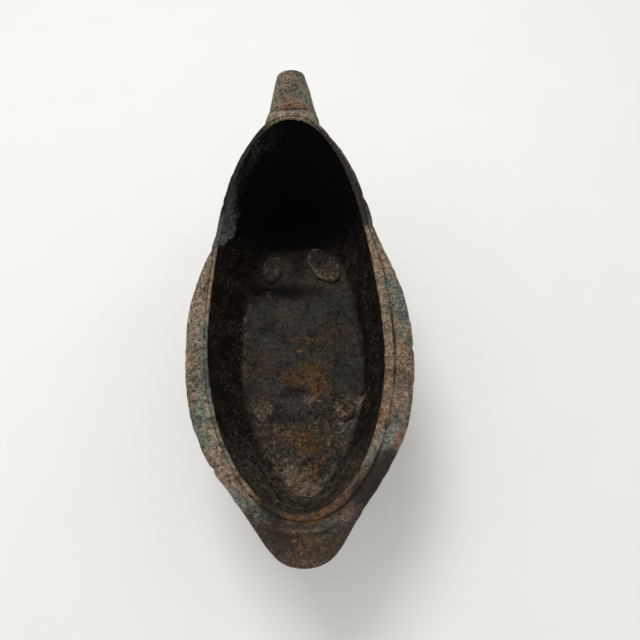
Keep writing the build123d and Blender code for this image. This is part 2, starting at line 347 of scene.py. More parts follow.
def lip_rings(mouth, turn):
    """Rings from the mouth over the ledge and the lip, round its edge and back underneath.

    With them go marks for each ring: how far it lies on the ledge, in its groove, on the crests
    of the sweeps across the tongue and in the troughs between them.
    """
    outward = outward_way(mouth)
    breadth = lip_breadth(mouth, outward)
    edge = mouth + np.column_stack([outward * breadth[:, None], np.zeros(len(mouth))])
    wear = 0.4 + 0.4 * lumps(mouth, 13.0, 71) + 0.25 * lumps(mouth, 4.0, 72)
    knocks = sum(depth * spot(edge, x, station, size) for x, station, size, depth in NICKS)
    breadth = np.maximum(breadth - np.minimum(wear + knocks, breadth * 0.3), 1.2)
    ledge = between(LEDGE_WIDTH, HOOD_LEDGE_WIDTH, rise(mouth[:, 2], RIM, ARCH))
    ledge = np.minimum(ledge - core_shift(mouth[:, 2]) * outward[:, 0], breadth * 0.5)
    fall = 1.5 * soft_step(breadth, 8.0, 16.0) + 2.4 * soft_step(breadth, 19.0, 27.0)
    over = np.minimum(2.0, breadth * 0.3)
    low_round = 1.4
    rings = []
    marks = []

    def ring_at(distance, drop, on_ledge=0.0, in_groove=0.0, crest=0.0, trough=0.0):
        plan = mouth[:, :2] + outward * distance[:, None]
        level = rim_height(plan[:, 1]) - drop
        rings.append(np.column_stack([plan, level]))
        marks.append((on_ledge, in_groove, crest, trough))

    shares = np.concatenate([np.linspace(0, 0.8, 9), [0.88, 0.94, 1.0, 1.06, 1.14, 1.25, 1.4, 1.6]])
    for share in shares:
        lift = 0.9 * (1 - math.exp(-(share / 0.14) ** 2))
        groove = math.exp(-((share - 1.0) / 0.11) ** 2)
        step = float(soft_step(share, 1.0, 1.3))
        drop = LEDGE_DROP * (1 - step) + 1.1 * groove * soft_step(breadth, 4, 8) + 0.9 - lift
        ring_at(ledge * share, drop, 1 - step, groove)
    first = ledge * shares[-1]
    span = np.maximum(breadth - over - first, 0.1)
    for ring in range(1, LIP_RINGS + 1):
        share = ring / LIP_RINGS
        distance = first + span * share
        belly = 0.35 * math.sin(math.pi * share)
        broad = soft_step(breadth, 17.0, 23.0)
        crest = broad * (1.1 * hump(distance, 10.5, 1.3) + 0.8 * hump(distance, 15.0, 1.6))
        trough = broad * (hump(distance, 12.7, 0.9) + 0.8 * hump(distance, 7.6, 1.1))
        bead = 0.45 * hump(breadth - distance, 3.2, 1.1) * soft_step(breadth, 8.0, 14.0)
        drop = fall * share ** 1.6 - belly - crest - bead
        ring_at(distance, drop, crest=crest, trough=trough)
    for angle in np.radians(np.arange(15, 91, 15)):
        ring_at(breadth - over * (1 - math.sin(angle)), fall + over * (1 - math.cos(angle)))
    for angle in np.radians(np.arange(0, 91, 22.5)):
        ring_at(breadth - low_round * (1 - math.cos(angle)),
                LIP_THICKNESS - low_round * (1 - math.sin(angle)))
    under = on_rim(turn, LIP_THICKNESS, True)
    brink = rings[-1]
    for ring in range(1, 9):
        share = ring / 8
        sag = np.minimum(1.2, 0.08 * breadth) * math.sin(math.pi * share) * share
        rings.append(brink + (under - brink) * share)
        rings[-1][:, 2] -= sag
        marks.append((0.0, 0.0, 0.0, 0.0))
    return rings, under, marks


def outer_rings(turn, under):
    """Rings from under the lip down the belly, with its tile bands, to the middle underneath."""
    rings = []
    base = UNDERSIDE + UNDERSIDE_ROUND
    for ring in range(1, OUTER_RINGS + 1):
        height = between(under[:, 2], base, ring / OUTER_RINGS)
        above = (height - UNDERSIDE - TILE_START) / TILE_PITCH
        band = np.clip(np.round(above), 0, TILES - 1)
        crown = np.clip(1 - 2 * (2 * (above - band)) ** 2, -0.3, 1)
        rings.append(egg(turn, height, wall_at(height) + TILE_RELIEF * crown))
    level = np.full_like(turn, UNDERSIDE)
    for angle in np.radians(np.arange(80, -1, -10)):
        height = level + UNDERSIDE_ROUND * (1 - math.cos(angle))
        rings.append(egg(turn, height, WALL - UNDERSIDE_ROUND * (1 - math.sin(angle))))
    edge = rings[-1]
    middle = np.array([0.0, WIDEST + 12.0, UNDERSIDE])
    for ring in range(1, BOTTOM_RINGS):
        rings.append(edge + (middle - edge) * (ring / BOTTOM_RINGS))
    return rings


def ring_mesh(name, rings, first, last):
    """A closed mesh from rings of points and the two end points."""
    count = len(rings[0])
    points = np.concatenate([first[None], *rings, last[None]])
    around = np.arange(count)
    ahead = (around + 1) % count
    faces = [(0, 1 + int(b), 1 + int(a)) for a, b in zip(around, ahead)]
    for ring in range(len(rings) - 1):
        low = 1 + ring * count
        high = low + count
        quads = np.stack([low + around, low + ahead, high + ahead, high + around], axis=-1)
        faces.extend(map(tuple, quads.tolist()))
    low = 1 + (len(rings) - 1) * count
    end = len(points) - 1
    faces.extend((low + int(a), low + int(b), end) for a, b in zip(around, ahead))
    mesh = bpy.data.meshes.new(name)
    mesh.from_pydata(to_frame(points).tolist(), [], faces)
    mesh.update()
    return mesh


def mesh_points(mesh):
    """Points of a mesh in casting millimetres."""
    flat = np.empty(len(mesh.vertices) * 3)
    mesh.vertices.foreach_get("co", flat)
    return to_casting(flat.reshape(-1, 3))


def mesh_normals(mesh):
    """Outward direction at each point of a mesh."""
    flat = np.empty(len(mesh.vertices) * 3)
    mesh.vertices.foreach_get("normal", flat)
    return flat.reshape(-1, 3)


def set_points(mesh, points):
    """Moves the points of a mesh to casting millimetres."""
    mesh.vertices.foreach_set("co", to_frame(points).ravel())
    mesh.update()


def read_field(mesh, name):
    """The number stored under a name on each point."""
    values = np.empty(len(mesh.vertices), dtype=np.float32)
    mesh.attributes[name].data.foreach_get("value", values)
    return values


def add_field(mesh, name, values):
    """Stores one number per point for the materials to read."""
    layer = mesh.attributes.new(name, "FLOAT", "POINT")
    layer.data.foreach_set("value", np.clip(values, 0, 1).astype(np.float32))


def new_piece(name, mesh, materials, node):
    """An object for a mesh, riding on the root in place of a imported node."""
    piece = bpy.data.objects.new(name, mesh)
    bpy.context.scene.collection.objects.link(piece)
    mesh.materials.clear()
    for material in materials:
        mesh.materials.append(material)
    mesh.shade_smooth()
    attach(piece, "root")
    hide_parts(node)
    return piece


# Where things are on the body


def bore_reach(points):
    """How far each point lies outside the bore of the spout, less than 0 within it."""
    way = np.array([0, math.cos(BORE_PITCH), math.sin(BORE_PITCH)])
    away = points - np.array(BORE_ROOT)
    along = away @ way
    distance = np.linalg.norm(away - along[:, None] * way, axis=-1)
    radius = np.interp(along, *zip(*BORE_RADII))
    return np.where(along > -1.0, distance - radius, distance)


def in_bowl(mesh):
    """1 on the inside of the bowl and in the hole for the spout, and 0 outside."""
    hole = bore_reach(mesh_points(mesh)) < 0.3
    return np.maximum(read_field(mesh, "inside"), hole)


def on_top(points, normals):
    """1 on the upward faces of the ledge and lip."""
    near = soft_step(points[:, 2] - rim_height(points[:, 1]), -6.0, -4.0)
    return near * soft_step(normals[:, 2], 0.1, 0.5)


def head_reach(points, node, grow=0.0):
    """Distance from the middle of a leg's head, 1 at its outline grown by some millimetres."""
    x, station, turn = HEADS[node]
    turn = math.radians(turn)
    across, along = points[:, 0] - x, points[:, 1] - station
    wide = across * math.cos(turn) + along * math.sin(turn)
    long = along * math.cos(turn) - across * math.sin(turn)
    return np.hypot(wide / (HEAD_HALF_WIDTH + grow), long / (HEAD_HALF_LENGTH + grow))


def floor_relief(points):
    """Height of the lumps, ridges and pits of the old floor."""
    bend = 4.0 * np.sin(points[:, 0] / 17.0) + 3.0 * lumps(points, 18.0, 5)
    ridge = 1.3 * hump(points[:, 1], 122.0 + bend, 3.0)
    trough = 1.1 * hump(points[:, 1], 106.0 + bend, 6.0)
    fold = 0.8 * hump(points[:, 1], 214.0 + 0.5 * bend, 3.5)
    hollow = 1.0 * stroke(points, -12, 125, -1, 125, 5.0)
    pits = 1.7 * spot(points, 39.0, 157.5, 1.8) + 0.8 * spot(points, 24.0, 148.0, 3.0)
    pits += 0.6 * spot(points, -14.0, 196.0, 3.0) + 0.5 * spot(points, 10.0, 178.0, 2.5)
    ring = np.hypot(points[:, 0] - 11.0, points[:, 1] - 191.0)
    mark = 0.7 * hump(ring, 6.5, 1.3) * soft_step(points[:, 0], 16.0, 8.0)
    cracks = 0.45 * hump(lumps(points, 14.0, 61) + 0.4 * lumps(points, 5.0, 62), 0.0, 0.06)
    cracks = cracks * soft_step(lumps(points, 30.0, 63), 0.0, 0.5)
    grain = 0.50 * crust(points, 10.0, 3, 31) + 0.14 * lumps(points, 2.0, 34)
    return ridge - trough + fold - hollow - pits - mark - cracks + grain


def hood_plate(points):
    """1 on the rough plate left on the inner face of the hood's left flank."""
    below = rim_height(points[:, 1]) - points[:, 2]
    ragged = 1.6 * lumps(points, 4.0, 66) + 0.9 * lumps(points, 1.6, 67)
    start = points[:, 1] - 0.75 * below + ragged
    length = soft_step(start, 209.5, 210.6) * soft_step(points[:, 1], 258.0, 240.0)
    depth = soft_step(below + 0.6 * ragged, 32.0, 30.0)
    return length * depth * (points[:, 0] < 0)


def arch_shift(points):
    """Forward push of the arch's edge, so that only a narrow brow is left before the spout."""
    high = soft_step(points[:, 2], 146.0, 158.0) * hump(points[:, 0], 0.0, 19.0)
    return 2.6 * high * soft_step(points[:, 1], 262.0, 278.0) * soft_step(points[:, 1], 293.0, 285.0)


def worn_body():
    """The bowl with its lip, tongue and arch, as the rough old casting."""
    turn = np.linspace(0, 2 * np.pi, TURNS, endpoint=False)
    inside, mouth = inner_rings(turn)
    lip, under, marks = lip_rings(mouth, turn)
    outside = outer_rings(turn, under)
    first = np.array([FLOOR_CORE_SHIFT, WIDEST + 12.0, FLOOR])
    last = np.array([0.0, WIDEST + 12.0, UNDERSIDE])
    mesh = ring_mesh("worn_body", inside + lip + outside, first, last)
    start = 1 + len(inside) * TURNS
    for name, values in zip(LIP_MARKS, zip(*marks)):
        whole = np.zeros(len(mesh.vertices))
        values = [np.broadcast_to(value, TURNS) for value in values]
        whole[start:start + len(lip) * TURNS] = np.concatenate(values)
        add_field(mesh, name, whole)
    bowl = (np.arange(len(mesh.vertices)) < start).astype(float)
    add_field(mesh, "inside", bowl)
    points = mesh_points(mesh)
    points[:, 1] += arch_shift(points)
    set_points(mesh, points)
    normals = mesh_normals(mesh)
    top = on_top(points, normals)
    flat = soft_step(points[:, 2], FLOOR + 5.0, FLOOR + 0.8) * bowl
    thin = soft_step(points[:, 2], RIM + 4.0, RIM + 20.0)
    wall_grain = 0.42 * crust(points, 11.0, 3, 11) + 0.26 * lumps(points, 1.9, 15)
    wall_grain += 1.3 * hood_plate(points)
    top_grain = 0.30 * crust(points, 14.0, 3, 21) + 0.15 * lumps(points, 1.7, 25)
    top_grain -= 0.5 * soft_step(lumps(points, 2.6, 27), 0.55, 0.8)
    skin_grain = 0.24 * crust(points, 12.0, 3, 41) + 0.10 * lumps(points, 1.7, 45)
    push = bowl * (1 - flat) * wall_grain * (1 - 0.4 * thin) + flat * floor_relief(points)
    push += (1 - bowl) * (top * top_grain + (1 - top) * skin_grain - 0.2) * (1 - 0.3 * thin)
    set_points(mesh, points + normals * push[:, None])
    return mesh


def bore_cutter():
    """A tapering plug that opens the front wall to the spout."""
    turn = np.linspace(0, 2 * np.pi, 64, endpoint=False)[:, None]
    way = np.array([0, math.cos(BORE_PITCH), math.sin(BORE_PITCH)])
    upright = np.array([0, -math.sin(BORE_PITCH), math.cos(BORE_PITCH)])
    across = np.array([1.0, 0, 0])
    middles = [np.array(BORE_ROOT) + way * distance for distance, _ in BORE_RADII]
    rings = [middle + radius * (np.cos(turn) * across + np.sin(turn) * upright)
             for middle, (_, radius) in zip(middles, BORE_RADII)]
    cutter = bpy.data.objects.new("bore_cutter",
                                  ring_mesh("bore_cutter", rings, middles[0], middles[-1]))
    bpy.context.scene.collection.objects.link(cutter)
    return cutter


def applied(piece):
    """The mesh of an object with its modifiers applied."""
    graph = bpy.context.evaluated_depsgraph_get()
    graph.update()
    return bpy.data.meshes.new_from_object(piece.evaluated_get(graph))


def opened_body():
    """The worn body with the hole for the spout cut through its front wall."""
    carrier = bpy.data.objects.new("body_blank", worn_body())
    bpy.context.scene.collection.objects.link(carrier)
    cutter = bore_cutter()
    cut = carrier.modifiers.new("bore", "BOOLEAN")
    cut.operation = "DIFFERENCE"
    cut.solver = "EXACT"
    cut.object = cutter
    mesh = applied(carrier)
    bpy.data.objects.remove(carrier)
    bpy.data.objects.remove(cutter)
    mesh.name = "bowl_casting"
    return mesh


# Shader sums


class Wire:
    """One output in a shader, so that sums on it read as plain arithmetic."""

    def __init__(self, bench, socket):
        self.bench = bench
        self.socket = socket

    def _math(self, operation, first, second=None):
        values = {0: first} if second is None else {0: first, 1: second}
        return self.bench.add("ShaderNodeMath", {"operation": operation}, values)

    def __add__(self, other):
        return self._math("ADD", self, other)

    def __sub__(self, other):
        return self._math("SUBTRACT", self, other)

    def __rsub__(self, other):
        return self._math("SUBTRACT", other, self)

    def __mul__(self, other):
        return self._math("MULTIPLY", self, other)

    def __abs__(self):
        return self._math("ABSOLUTE", self)

    __radd__ = __add__
    __rmul__ = __mul__


class Bench:
    """The node tree of one material."""

    def __init__(self, name):
        self.material = bpy.data.materials.new(name)
        self.material.use_nodes = True
        self.tree = self.material.node_tree
        self.tree.nodes.clear()
        self.places = self.add("ShaderNodeTexCoord", output="Object")

    def add(self, kind, settings=None, values=None, output=0):
        """A node of some kind: its settings first, then the values or links of its sockets."""
        node = self.tree.nodes.new(kind)
        for key, value in (settings or {}).items():
            setattr(node, key, value)
        for key, value in (values or {}).items():
            if isinstance(value, Wire):
                self.tree.links.new(value.socket, node.inputs[key])
            else:
                node.inputs[key].default_value = value
        return Wire(self, node.outputs[output])

    def field(self, name):
        """A number stored on the points of the mesh."""
        return self.add("ShaderNodeAttribute", {"attribute_name": name}, output="Fac")

    def noise(self, size, detail=3.0, rough=0.55, twist=0.0, squeeze=None):
        """Soft noise whose patches are size millimetres across, squeezed along the axes."""
        places = self.places
        if squeeze:
            places = self.add("ShaderNodeMapping", None, {"Vector": places, "Scale": squeeze})
        values = {"Vector": places, "Scale": 1 / (size * MM), "Detail": detail,
                  "Roughness": rough, "Distortion": twist}
        return self.add("ShaderNodeTexNoise", None, values)

    def ramp(self, wire, start, end):
        """0 below start, 1 above end, and smooth between."""
        values = {"Value": wire, "From Min": start, "From Max": end}
        settings = {"interpolation_type": "SMOOTHSTEP", "clamp": True}
        return self.add("ShaderNodeMapRange", settings, values)

    def blend(self, share, first, second):
        """A colour that goes from the first to the second as share goes from 0 to 1."""
        values = {0: share, 6: colour(first), 7: colour(second)}
        return self.add("ShaderNodeMix", {"data_type": "RGBA"}, values, output=2)

    def finish(self, base, rough, relief, depth, shine):
        """The surface: colour, roughness, fine relief and how strongly it shines."""
        normal = self.add("ShaderNodeBump", None,
                          {"Strength": 1.0, "Distance": depth * MM, "Height": relief}, "Normal")
        values = {"Base Color": base, "Roughness": rough, "Normal": normal,
                  "Specular IOR Level": shine}
        self.output(self.add("ShaderNodeBsdfPrincipled", None, values))
        return self.material

    def output(self, surface):
        """Links a shader to the material's output."""
        end = self.tree.nodes.new("ShaderNodeOutputMaterial")
        self.tree.links.new(surface.socket, end.inputs["Surface"])


def colour(value):
    """A colour as a wire or as four numbers."""
    return value if isinstance(value, Wire) else (*value, 1.0)


# Patches of the patina, some of them laid as painted highlights and painted shade: a dark and a
# light tone as linear colours, the size of the ragged edge in millimetres and how fully the patch covers
PATCHES = {
    "brown": ((0.022, 0.015, 0.010), (0.085, 0.058, 0.038), 4.0, 0.88),
    "tan": ((0.100, 0.060, 0.034), (0.420, 0.300, 0.195), 3.6, 0.75),
    "pink": ((0.110, 0.066, 0.048), (0.380, 0.260, 0.210), 3.6, 0.78),
    "green": ((0.036, 0.058, 0.044), (0.175, 0.240, 0.180), 4.6, 0.84),
    "teal": ((0.022, 0.047, 0.045), (0.120, 0.205, 0.190), 4.2, 0.84),
    "pale": ((0.090, 0.105, 0.097), (0.340, 0.360, 0.320), 3.4, 0.70),
    "slate": ((0.042, 0.042, 0.043), (0.235, 0.237, 0.230), 3.4, 0.92),
    "ochre": ((0.026, 0.013, 0.004), (0.150, 0.074, 0.020), 5.0, 0.95),
    "rust": ((0.075, 0.028, 0.010), (0.380, 0.175, 0.062), 3.4, 0.85),
    "dark": ((0.006, 0.005, 0.004), (0.034, 0.024, 0.017), 4.4, 0.92),
}

# Strokes of each patch on the lip: x, station, x, station, width and strength
LIP_STROKES = {
    "tan": (
        (-55, 206, -64, 178, 4.0, 0.7), (-66, 176, -68, 130, 5.0, 0.55), (50, 215, 60, 196, 6.0, 0.6),
        (60, 196, 64, 184, 5.0, 0.6), (64, 132, 68, 116, 5.0, 0.75), (56, 107, 60, 83, 5.0, 0.5),
        (-13, 290, 13, 290, 7.0, 1.0), (67, 149, 70, 143, 3.0, 0.5), (-16, 25, -6, 20, 1.0, 0.6),
        (-6, 20, 8, 20, 1.0, 0.6), (8, 20, 18, 25, 1.0, 0.6), (-12, 3, 12, 3, 2.5, 0.45),
    ),
    "pink": (
        (-68, 172, -70, 150, 4.0, 0.6), (-54, 65, -46, 55, 4.5, 0.85), (-45, 56, -39, 44, 4.0, 0.8),
        (22, 25, 33, 35, 3.5, 0.75), (-69, 120, -66, 92, 4.0, 0.4), (66, 116, 64, 100, 4.0, 0.4),
    ),
    "green": (
        (-63, 155, -61, 88, 3.2, 0.7), (-64, 90, -59, 72, 6.0, 0.75), (8, 20, 18, 22, 4.0, 0.55),
        (11, 299, 16, 283, 3.5, 0.7), (-16, 288, -24, 278, 3.0, 0.5), (-42, 43, -20, 27, 4.0, 0.55),
        (62, 100, 60, 82, 4.0, 0.35), (-55, 216, -50, 224, 3.0, 0.4),
    ),
    "teal": (
        (62, 179, 70, 166, 4.5, 0.8), (64, 164, 70, 148, 4.5, 0.75), (64, 141, 72, 134, 2.5, 0.8),
        # The stroke from (-18, 35) to (4, 30) is a painted highlight along the near edge of the mouth
        (50, 230, 57, 216, 4.0, 0.55), (-18, 35, 4, 30, 1.4, 0.7), (58, 190, 62, 180, 3.0, 0.5),
        (-47, 50, -36, 37, 3.0, 0.35), (58, 80, 50, 70, 5.0, 0.4),
    ),
    "pale": (
        (-13, 291, 6, 291, 5.0, 0.60),
        (-42, 43, -33, 33, 3.2, 0.6), (-28, 29, -27, 28, 2.0, 0.7), (43, 59, 57, 76, 5.5, 0.85),
        (20, 23, 27, 26, 2.0, 0.5), (27, 34, 36, 39, 3.2, 0.6), (-63, 84, -60, 76, 3.0, 0.4),
        # A painted highlight along the near edge of the mouth
        (-20, 36, 4, 30, 1.3, 0.75),
    ),
    "rust": (
        (8, 28, 26, 41, 3.0, 1.0), (-11, 27, 6, 25, 2.2, 0.65), (-36, 54, -25, 38, 1.6, 0.7),
        (56, 67, 60, 76, 1.8, 0.8), (48, 83, 51, 95, 2.2, 0.7), (57, 132, 55, 101, 1.8, 0.6),
        (-3, 290, 7, 298, 3.5, 0.35), (66, 134, 69, 118, 3.0, 0.45), (52, 200, 57, 190, 3.0, 0.4),
        (-8, 14, 8, 10, 7.0, 0.24), (24, 276, 30, 264, 3.0, 0.5),
    ),
    "dark": (
        (34, 39, 51, 58, 7.5, 1.0), (-24, 36, -15, 27, 4.0, 0.7), (62, 115, 69, 108, 4.0, 0.4),
        (-60, 189, -63, 179, 1.6, 0.6), (-22, 21, -11, 13, 5.0, 0.35), (46, 250, 50, 236, 2.5, 0.6),
        (64, 132, 60, 150, 2.0, 0.4),
    ),
}

# The same on the floor inside the bowl
FLOOR_STROKES = {
    "ochre": (
        (5, 139, 11, 126, 8.0, 1.0), (-9, 134, 8, 136, 9.0, 0.6), (-9, 167, 2, 167, 6.0, 0.36),
        (3, 90, 3, 86, 6.0, 0.45), (4, 63, 10, 70, 5.0, 0.5), (-23, 93, -5, 92, 9.0, 0.34),
        (10, 164, 30, 172, 7.0, 0.20), (-10, 100, 12, 82, 14.0, 0.22),
    ),
    "rust": ((-1, 156, 0, 156, 1.6, 0.9), (8, 130, 10, 124, 3.0, 0.5), (6, 66, 9, 69, 2.5, 0.5)),
    "tan": (
        (-13, 69, -2, 60, 8.0, 0.30), (1, 118, 9, 118, 3.5, 0.4), 
        (-10, 56, 4, 52, 8.0, 0.28), (-41, 184, -41, 135, 1.5, 0.35), (27, 104, 40, 116, 5.5, 0.6),
    ),
    "teal": ((-4, 103, 2, 102, 5.0, 0.5), (-12, 196, 20, 176, 10.0, 0.10)),
    "dark": (
        # The first two dark strokes are a painted shadow across the floor before the front left leg; the
        # strokes from (-20, 254) to (20, 254) and from (0, 236) to (0, 224) darken the floor under the
        # hood, dark patina with painted shade
        (-32, 210, -4, 208, 8.0, 1.0), (-4, 207, 14, 206, 5.5, 0.9), (-12, 125, -1, 125, 4.5, 0.7), (-40, 106, 0, 104, 4.5, 0.7),
        (20, 102, 38, 104, 3.0, 0.6), (39, 157.5, 39, 157.5, 1.8, 0.9), (5, 191, 7, 195, 2.0, 0.7),
        (32, 122, 43, 119, 2.0, 0.7), (-20, 254, 20, 254, 14.0, 1.0), (0, 236, 0, 224, 7.0, 0.8),
        (42, 200, 40, 215, 5.0, 0.5), (-42, 200, -38, 214, 5.0, 0.6), (-32, 236, -30, 220, 5.0, 0.8),
    ),
}


def paint(points, strokes):
    """Strength of a patch at each point, built up from its strokes."""
    clear = np.ones(len(points))
    for *ends, width, strength in strokes:
        clear *= 1 - strength * stroke(points, *ends, width)
    return 1 - clear


def layered(bench, base, names, fine, middle, strength=1.0):
    """A ground with ragged patches laid over it in turn."""
    for name in names:
        dark, light, size, cover = PATCHES[name]
        ragged = (bench.noise(size, 4.0, 0.7, 0.3) - 0.5) * 1.5 + (fine - 0.5) * 0.7
        here = bench.field(name)
        share = bench.ramp(here + ragged, 0.16, 0.72) * bench.ramp(here, 0.0, 0.14)
        share = share * (cover * strength)
        tone = bench.blend(bench.ramp(fine * 0.6 + middle * 0.4, 0.38, 0.62), dark, light)
        base = bench.blend(share, base, tone)
    return base


def outer_bronze(name, ground_dark, ground_light, scale):
    """Finish of the lip and the outside: mottled brown with patches of the patina on it, some of them
    painted highlights and painted shade, and painted shade over the tongue and the right lip.
    """
    bench = Bench(name)
    coarse = bench.noise(11.0 * scale, 6.0, 0.6)
    middle = bench.noise(4.4 * scale, 5.0, 0.65, 0.5)
    fine = bench.noise(2.0 * scale, 4.0, 0.65, 0.5)
    grain = bench.noise(0.9 * scale, 2.0, 0.6)
    mix = coarse * 0.40 + middle * 0.35 + fine * 0.25
    base = bench.blend(bench.ramp(mix, 0.41, 0.57), ground_dark, ground_light)
    base = layered(bench, base, PATCHES, fine, middle)
    wander = abs(bench.noise(3.4 * scale, 3.0, 0.55, 1.6) - 0.5)
    track = (1 - bench.ramp(wander, 0.018, 0.060)) * bench.ramp(fine, 0.40, 0.56)
    bare = 1 - bench.ramp(bench.field("dark") + bench.field("slate"), 0.15, 0.85) * 0.9
    base = bench.blend(track * bench.field("tracks") * bare, base, (0.46, 0.355, 0.250))
    crack = 1 - bench.ramp(abs(bench.noise(3.0 * scale, 3.0, 0.55, 1.2) - 0.5), 0.006, 0.040)
    pits = bench.ramp(bench.noise(2.4 * scale, 3.0, 0.6), 0.585, 0.665)
    hollows = 1 - (1 - crack * 0.55) * (1 - pits * 0.75)
    base = bench.blend(hollows, base, (0.016, 0.011, 0.008))
    base = bench.blend(bench.ramp(grain, 0.56, 0.72) * 0.34 * bare, base, (0.44, 0.36, 0.28))
    base = bench.blend(bench.ramp(1 - grain, 0.56, 0.72) * 0.40, base, (0.018, 0.013, 0.010))
    # Painted shade over the tongue and the near part of the right lip
    base = bench.blend(bench.field("painted_shade") * (1.25 - fine * 0.5), base, (0.024, 0.014, 0.008))
    rough = bench.ramp(coarse, 0.25, 0.75) * 0.20 + 0.48
    relief = middle * 0.40 + fine * 0.60 + grain * 0.35 - hollows * 0.45 + track * 0.20
    return bench.finish(base, rough, relief, 1.3, 0.20)


def inner_bronze():
    """Finish of the inside: near black walls with painted light at their near end, a grey-brown floor
    with rust, and dark patina with painted shade in the hood.
    """
    bench = Bench("inner_bronze")
    coarse = bench.noise(16.0, 6.0, 0.6)
    middle = bench.noise(5.0, 5.0, 0.65, 0.5)
    fine = bench.noise(2.0, 4.0, 0.65, 0.5)
    grain = bench.noise(0.9, 2.0, 0.6)
    walls = bench.blend(bench.ramp(middle, 0.42, 0.66), (0.005, 0.004, 0.003), (0.018, 0.013, 0.009))
    specks = bench.ramp(fine, 0.53, 0.63) * bench.ramp(coarse, 0.40, 0.58)
    walls = bench.blend(specks * 0.65, walls, (0.130, 0.095, 0.060))
    streaks = bench.ramp(bench.noise(2.6, 3.0, 0.6, 0.4, (1.0, 1.0, 0.16)), 0.56, 0.68)
    walls = bench.blend(streaks * bench.ramp(coarse, 0.38, 0.60) * 0.5, walls, (0.090, 0.074, 0.052))
    # Painted light: a lighter copy of the wall tones for the near end of the walls, where light falls on
    # them
    lit = bench.blend(bench.ramp(middle, 0.38, 0.62), (0.010, 0.008, 0.006), (0.058, 0.048, 0.036))
    lit = bench.blend(specks * 0.65, lit, (0.190, 0.150, 0.105))
    tint = bench.blend(bench.ramp(bench.noise(24.0, 3.0), 0.42, 0.58), (0.036, 0.034, 0.031),
                       (0.046, 0.035, 0.023))
    ground = bench.blend(bench.ramp(coarse * 0.6 + middle * 0.4, 0.36, 0.56), (0.012, 0.010, 0.008), tint)
    ground = bench.blend(bench.ramp(fine, 0.50, 0.68) * 0.40, ground, (0.115, 0.094, 0.066))
    base = bench.blend(bench.field("tail"), walls, lit)
    base = bench.blend(bench.field("floor"), base, ground)
    base = layered(bench, base, ("tan", "teal", "rust", "pale", "ochre"), fine, middle, 0.66)
    base = layered(bench, base, ("slate", "dark"), fine, middle)
    # Dark patina and painted shade, near black, inside the hood and on the floor before and under it
    base = bench.blend(bench.field("dark_patina_and_shade"), base, (0.0010, 0.0009, 0.0010))
    crack = 1 - bench.ramp(abs(bench.noise(6.0, 4.0, 0.6, 1.0) - 0.5), 0.003, 0.020)
    base = bench.blend(crack * bench.field("floor") * 0.35, base, (0.006, 0.005, 0.004))
    base = bench.blend(bench.ramp(1 - grain, 0.56, 0.70) * 0.30, base, (0.005, 0.004, 0.003))
    rough = bench.ramp(coarse, 0.2, 0.8) * 0.2 + 0.55 + bench.field("dark_patina_and_shade") * 0.25
    relief = middle * 0.35 + fine * 0.50 + grain * 0.25 - crack * 0.25
    return bench.finish(base, rough, relief, 1.2, 0.08)


